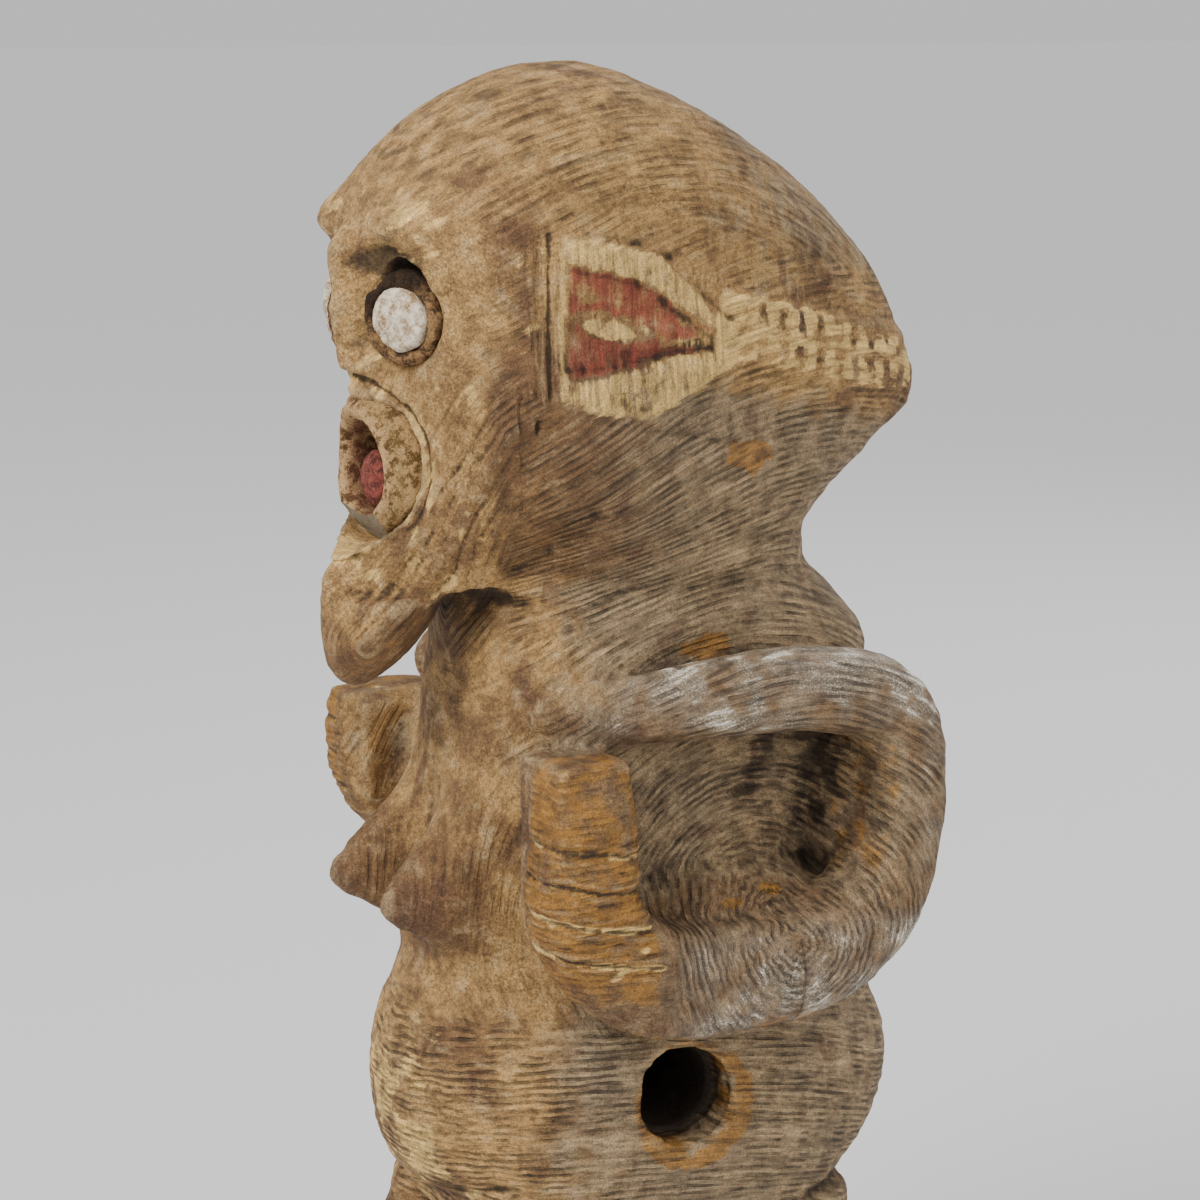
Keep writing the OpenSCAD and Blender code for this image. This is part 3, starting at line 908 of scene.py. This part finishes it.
class FigurePaint(bpy.types.PropertyGroup):
    tan: colour_of("Tan wood", "The lighter bare wood", "ae8852")
    brown: colour_of("Brown wood", "The darker bare wood", "694b2f")
    grey: colour_of("Grey wood", "Weathered wood on the neck and back", "86755c")
    dust: colour_of("Dust", "Pale dust in the surface", "bfa67c")
    stain: colour_of("Stain", "Purple-brown stains", "5a3c30")
    # Rubbed grey: grey patina whose pale specks are partly a painted sheen.
    patina_and_sheen: colour_of("Rubbed grey", "Grey sheen on the arms", "cbc4b6")
    ochre: colour_of("Worn orange", "Fresh or handled wood", "96651a")
    # This colour is also the painted shade in the hollows, the arm loops, under the chin and brows and in the
    # bore.
    soot_and_shade: colour_of("Soot", "Dark hollows and grooves", "261c14")
    cream: colour_of("Cream", "Pale pigment of the ears", "dcb670")
    red: colour_of("Red", "Red pigment of the ears", "8a3f30")
    chalk: colour_of("Chalk", "The white eye discs", "e8dcc4")
    paste: colour_of("Paste", "Crust round the eyes", "8f6b44")
    tongue: colour_of("Tongue", "The red tongue", "8c453a")


class FigureSkin(bpy.types.PropertyGroup):
    voxel: bpy.props.FloatProperty(
        name="Skin detail", description="Size of the skin's faces", subtype="DISTANCE", unit="LENGTH",
        default=0.00114, min=0.0005, max=0.004, precision=5)
    quick_voxel: bpy.props.FloatProperty(
        name="Quick detail", description="Size of the skin's faces for a quick look", subtype="DISTANCE",
        unit="LENGTH", default=0.0014, min=0.0005, max=0.004, precision=5)


# ---- operators ----

def cutter(name, low, high):
    """A block between two corners, in millimetres."""
    size = Vector(high) - Vector(low)
    centre = (Vector(high) + Vector(low)) / 2
    bpy.ops.mesh.primitive_cube_add(size=1, location=(centre - ORIGIN) * MM, scale=size * MM)
    block = bpy.context.object
    block.name = name
    bpy.ops.object.transform_apply(location=True, rotation=True, scale=True)
    return block


def room(left, right, low, high):
    """A block that holds one region of the carving, from front to back."""
    return cutter("room", (left, -ROOM, low), (right, ROOM, high))


def head_room():
    """The room above the neck, and in front of it for the chin."""
    block = room(-ROOM, ROOM, CHIN_LOW, 560)
    notch = cutter("neck_room", (-ROOM - 10, THROAT_Y, CHIN_LOW - 10), (ROOM + 10, ROOM + 10, NECK_Z))
    apply(block, "BOOLEAN", object=notch, operation="DIFFERENCE", solver="EXACT")
    bpy.data.objects.remove(notch)
    return block


JOIN_VOXEL = 0.0016      # coarse enough to bridge the flat joins between the copies

# Wood that fills the corners round each pocket, behind each hand and at the front of each shoulder.
FILLS = (
    ((47, 12, 231), (25, 46, 20)),
    ((46, 63, 266), (26, 15, 32)),
    ((47, -36, 262), (13, 14, 32)),
    ((44, -20, 303), (17, 26, 15)),
)


def blob(place, radii, side):
    """A round lump, in millimetres."""
    bpy.ops.mesh.primitive_uv_sphere_add(segments=48, ring_count=24, radius=1,
                                         location=(Vector((side * place[0], *place[1:])) - ORIGIN) * MM,
                                         scale=Vector(radii) * MM)
    bpy.ops.object.transform_apply(location=True, rotation=True, scale=True)
    return bpy.context.object


class FIGURE_OT_block(bpy.types.Operator):
    """Sculpts the carved block and cuts it into head, trunk, hips, arms and legs"""
    bl_idname = "figure.block"
    bl_label = "Carved block"

    def execute(self, context):
        settings = context.scene.figure_skin
        voxel = settings.voxel
        copies = [copy_of(node, "carving_" + node) for node in WOOD]
        copies += [blob(place, radii, side) for place, radii in FILLS for side in (-1, 1)]
        copies.append(cutter("left_palm", (50, -55, 234), (79, -31, 295)))
        copies.append(cutter("right_palm", (-76, -63, 254), (-50, -34, 288)))
        pick(*copies)
        bpy.ops.object.join()
        block = context.object
        apply(block, "REMESH", mode="VOXEL", voxel_size=JOIN_VOXEL)
        apply(block, "SMOOTH", factor=0.5, iterations=5)
        apply(block, "REMESH", mode="VOXEL", voxel_size=voxel)
        apply(block, "SMOOTH", factor=0.5, iterations=3)
        skin = Skin(block.data)
        skin.push(face_form(skin.points) + ear_form(skin.points))
        skin.push(arm_form(skin.points) + body_form(skin.points) + leg_form(skin.points))
        skin.points = skin.relax(skin.points, 1)
        skin.store()
        lumps = 0.7 * rough(skin.points, 22, 91) + 0.4 * rough(skin.points, 7, 95)
        arcs, others, turn = strokes(skin.points)
        ridges = [0.4 * grain(way / (2.8, 16, 8), 1, 97) + 0.3 * grain(way / (6, 30, 14), 1, 98)
                  for way in (arcs, others)]
        ridges = ridges[0] + (ridges[1] - ridges[0]) * turn
        skin.push(lumps + ridges + cracks(skin.points) + 0.12 * grain(skin.points, 1.6, 99))
        skin.points[:, 2] = np.maximum(skin.points[:, 2], 0)
        skin.store()
        normals = skin.normals()
        # cavity is low in hollows, where the wood's material lays painted shade, and high where the surface
        # stands proud.
        hollow = ((skin.relax(skin.points, 6) - skin.points) * normals).sum(1)
        cavity = np.clip(0.5 - hollow / 0.8, 0, 1)
        arcs, others, turn = strokes(skin.points)
        store_masks(block.data, paint_masks(skin.points, skin.relax(normals, 4), cavity, turn))
        for name, way in zip(STROKES, (arcs, others)):
            layer = block.data.attributes.new(name, "FLOAT_VECTOR", "POINT")
            layer.data.foreach_set("vector", way.astype(np.float32).ravel())
        material = carved_wood(context.scene.figure_paint)
        rooms = {
            "head": head_room(),
            "trunk": room(-ARM_X, ARM_X, WAIST_Z, NECK_Z),
            "hips": room(-ROOM, ROOM, CROTCH_Z, WAIST_Z),
            "left_arm": room(ARM_X, ROOM, WAIST_Z, NECK_Z),
            "right_arm": room(-ROOM, -ARM_X, WAIST_Z, NECK_Z),
            "left_leg": room(0, ROOM, -10, CROTCH_Z),
            "right_leg": room(-ROOM, 0, -10, CROTCH_Z),
        }
        for node, space in rooms.items():
            piece = bpy.data.objects.new("carved_" + node, block.data.copy())
            context.scene.collection.objects.link(piece)
            apply(piece, "BOOLEAN", object=space, operation="INTERSECT", solver="MANIFOLD")
            if node == "trunk":
                apply(piece, "BOOLEAN", object=rooms["head"], operation="DIFFERENCE", solver="MANIFOLD")
            if len(piece.data.vertices) < 100:
                raise RuntimeError(f"the {node} came out empty")
            mend(piece.data, block.data)
            finish_piece(piece, node, material)
        for space in rooms.values():
            bpy.data.objects.remove(space)
        bpy.data.objects.remove(block)
        return {"FINISHED"}


def crusted(node, name, voxel, lump, depth, seed):
    """A copy of a paste part with a lumpy, granular skin."""
    piece = copy_of(node, name)
    apply(piece, "REMESH", mode="VOXEL", voxel_size=voxel * MM)
    apply(piece, "SMOOTH", factor=0.5, iterations=4)
    skin = Skin(piece.data)
    skin.push(depth * rough(skin.points, lump, seed, 4))
    return piece


class FIGURE_OT_eyes(bpy.types.Operator):
    """Makes the crusted eye beds and the chalk discs in them"""
    bl_idname = "figure.eyes"
    bl_label = "Eyes"

    def execute(self, context):
        paint = context.scene.figure_paint
        paste = crust("eye_crust", paint.paste[:] + (1,), shade("38261a"), shade("b3925f"), 3, "bed_shadow")
        chalk = crust("eye_chalk", paint.chalk[:] + (1,), shade("93714a"), shade("f2ead8"), 4)
        for side, seed in (("left", 5), ("right", 6)):
            bed = crusted(side + "_eye_bed", side + "_eye_crust", 0.7, 5, 1.9, seed)
            skin = Skin(bed.data)
            # Painted shadow of the brow over the bed's upper part.
            above = skin.points[:, 2] - EYE.z + 0.5 * (EYE.x - np.abs(skin.points[:, 0]))
            bed_shadow = rise(above + 3 * rough(skin.points, 6, 45), 1, 8)
            store_masks(bed.data, {"bed_shadow": (bed_shadow, 0 * bed_shadow, 0 * bed_shadow)})
            finish_piece(bed, side + "_eye_bed", paste)
            disc = crusted(side + "_eye_disc", side + "_eye_chalk", 0.6, 5, 0.8, seed + 20)
            finish_piece(disc, side + "_eye_disc", chalk)
        return {"FINISHED"}


class FIGURE_OT_mouth(bpy.types.Operator):
    """Makes the crusted mouth ring and the red tongue in it"""
    bl_idname = "figure.mouth"
    bl_label = "Mouth"

    def execute(self, context):
        paint = context.scene.figure_paint
        ring = crusted("mouth_ring", "mouth_crust", 0.7, 7, 0.9, 41)
        skin = Skin(ring.data)
        x, y, z = skin.points.T
        out = np.hypot(x, z - MOUTH.z)
        ahead = rise(-skin.normals()[:, 1], -0.2, 0.4)
        y -= ahead * (0.8 * bell(out - 18, 3) - 1.3 * bell(out - 21, 1))
        y += 6 * (x / 24) ** 2 * np.clip((-68 - y) / 18, 0, 1)
        x *= 1 - 0.22 * rise(MOUTH.z - z, 6, 24)
        below = np.maximum(-0.8 * (y + 83) - 0.6 * (z - 362), 0)
        skin.points = np.column_stack([x, y + 0.8 * below, z + 0.6 * below])
        skin.store()
        spot = rough(skin.points, 6, 43)
        flat = rise(below, 0.1, 0.8)
        inside = 1 - rise(out + spot, 13.5, 16)
        green = bell(out - 22, 2) * rise(x + 6 * spot, -4, 6) * (1 - flat)
        store_masks(ring.data, {"tint": (inside, green, flat)})
        finish_piece(ring, "mouth_ring", lip_paste())
        tongue = crusted("tongue", "tongue_lump", 0.6, 6, 1.3, 47)
        finish_piece(tongue, "tongue",
                     crust("tongue_red", paint.tongue[:] + (1,), shade("47241c"), shade("a4695c"), 3))
        return {"FINISHED"}


VIEW_TURN, VIEW_LIFT = math.radians(62), math.radians(12)
VIEW_AWAY = 0.9
VIEW_HEIGHT = 327
VIEW_FIELD = math.radians(24.5)
LAMPS = (      # name, place, size and power
    ("key", (0.3, -1.2, 1.5), 0.7, 27),
    ("fill", (1.5, 0.4, 0.9), 1.2, 9),
    ("rim", (-0.8, 1.4, 1.3), 1.0, 10),
)
LAMP_AIM = Vector((0, 0, 0.3))
# The floor's own light and its grey are chosen so that it fades into the background at the horizon.
FLOOR_GREY, FLOOR_GLOW, SKY_GLOW = 0.62, 0.26, 0.68


class FIGURE_OT_stage(bpy.types.Operator):
    """Makes the pale floor, the lights and the camera"""
    bl_idname = "figure.stage"
    bl_label = "Stage"

    def execute(self, context):
        aim = (Vector((0, 0, VIEW_HEIGHT)) - ORIGIN) * MM
        level = math.cos(VIEW_LIFT)
        back = Vector((math.sin(VIEW_TURN) * level, -math.cos(VIEW_TURN) * level, math.sin(VIEW_LIFT)))
        data = bpy.data.cameras.new("camera")
        data.sensor_width = 36
        data.lens = data.sensor_width / 2 / math.tan(VIEW_FIELD / 2)
        camera = bpy.data.objects.new("camera", data)
        camera.location = aim + back * VIEW_AWAY
        camera.rotation_euler = back.to_track_quat("Z", "Y").to_euler()
        context.scene.collection.objects.link(camera)
        context.scene.camera = camera
        deselect()
        bpy.ops.mesh.primitive_plane_add(size=80, location=(0, 0, -0.0002))
        floor = context.object
        floor.name = "floor"
        bpy.ops.object.transform_apply(location=True)
        plain = Graph("floor_paper")
        plain.shader.inputs["Base Color"].default_value = (FLOOR_GREY, FLOOR_GREY, FLOOR_GREY, 1)
        plain.shader.inputs["Roughness"].default_value = 0.9
        plain.shader.inputs["Emission Color"].default_value = (1, 1, 1, 1)
        plain.shader.inputs["Emission Strength"].default_value = FLOOR_GLOW
        floor.data.materials.append(plain.material)
        for name, place, size, power in LAMPS:
            lamp = bpy.data.lights.new(name, "AREA")
            lamp.size = size
            lamp.energy = power
            holder = bpy.data.objects.new(name, lamp)
            holder.location = place
            holder.rotation_euler = (Vector(place) - LAMP_AIM).to_track_quat("Z", "Y").to_euler()
            context.scene.collection.objects.link(holder)
        world = bpy.data.worlds.new("studio")
        world.use_nodes = True
        world.node_tree.nodes["Background"].inputs[0].default_value = (1, 1, 1, 1)
        world.node_tree.nodes["Background"].inputs[1].default_value = SKY_GLOW
        context.scene.world = world
        return {"FINISHED"}


OPERATORS = (FIGURE_OT_stage, FIGURE_OT_block, FIGURE_OT_eyes, FIGURE_OT_mouth)


class FIGURE_PT_panel(bpy.types.Panel):
    """Lists the steps that build the figure"""
    bl_label = "Carved figure"
    bl_idname = "FIGURE_PT_panel"
    bl_space_type = "VIEW_3D"
    bl_region_type = "UI"
    bl_category = "Figure"

    def draw(self, context):
        for group in (context.scene.figure_skin, context.scene.figure_paint):
            for name in group.bl_rna.properties.keys():
                if name not in ("rna_type", "name"):
                    self.layout.prop(group, name)
        for operator in OPERATORS:
            self.layout.operator(operator.bl_idname)


CLASSES = (FigurePaint, FigureSkin, *OPERATORS, FIGURE_PT_panel)


def register():
    for cls in CLASSES:
        bpy.utils.register_class(cls)
    bpy.types.Scene.figure_paint = bpy.props.PointerProperty(type=FigurePaint)
    bpy.types.Scene.figure_skin = bpy.props.PointerProperty(type=FigureSkin)


def unregister():
    del bpy.types.Scene.figure_skin
    del bpy.types.Scene.figure_paint
    for cls in reversed(CLASSES):
        bpy.utils.unregister_class(cls)


def main():
    register()
    bpy.ops.figure.stage()
    bpy.ops.figure.block()
    bpy.ops.figure.eyes()
    bpy.ops.figure.mouth()


if __name__ == "__main__":
    main()
